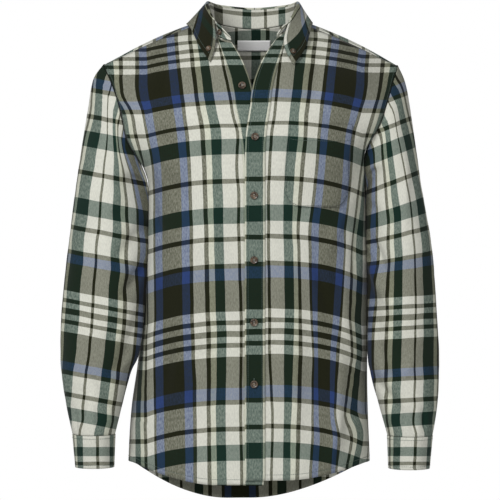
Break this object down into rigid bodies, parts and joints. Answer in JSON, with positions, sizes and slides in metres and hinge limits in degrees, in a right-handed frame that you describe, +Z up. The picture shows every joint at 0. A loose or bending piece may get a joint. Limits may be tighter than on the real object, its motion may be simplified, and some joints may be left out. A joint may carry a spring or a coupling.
{
  "type": "flannel shirt",
  "caption": "Long-sleeved plaid flannel shirt with a button-down collar, chest pocket, buttoned cuffs and a curved hem, open at the neck and shaped as if worn.",
  "frame": {"origin": "middle of the neck, level with the seam at the nape, on the line of the buttons and between the side seams", "axes": "+Z up, the front faces -Y, +X is the wearer's left"},
  "size_m": [0.604, 0.2755, 0.821],
  "materials": {
    "flannel": "brushed cotton flannel, matt, woven in a check of cream, bottle green, dark olive and blue",
    "label": "woven satin label, blank",
    "button": "mottled brown horn look, satin polish"
  },
  "bodies": {
    "root": {"front_right": "flannel", "front_left": "flannel", "back": "flannel", "yoke": "flannel", "placket": "flannel", "button_band": "flannel", "pocket": "flannel", "collar_stand": "flannel", "collar": "flannel", "sleeve_right": "flannel", "cuff_right": "flannel", "sleeve_placket_right": "flannel", "sleeve_left": "flannel", "cuff_left": "flannel", "sleeve_placket_left": "flannel", "neck_label": "label", "button_front_1": "button", "button_front_2": "button", "button_front_3": "button", "button_front_4": "button", "button_front_5": "button", "button_front_6": "button", "button_stand": "button", "button_collar_right": "button", "button_cuff_right": "button", "button_collar_left": "button", "button_cuff_left": "button"}
  },
  "joints": []
}
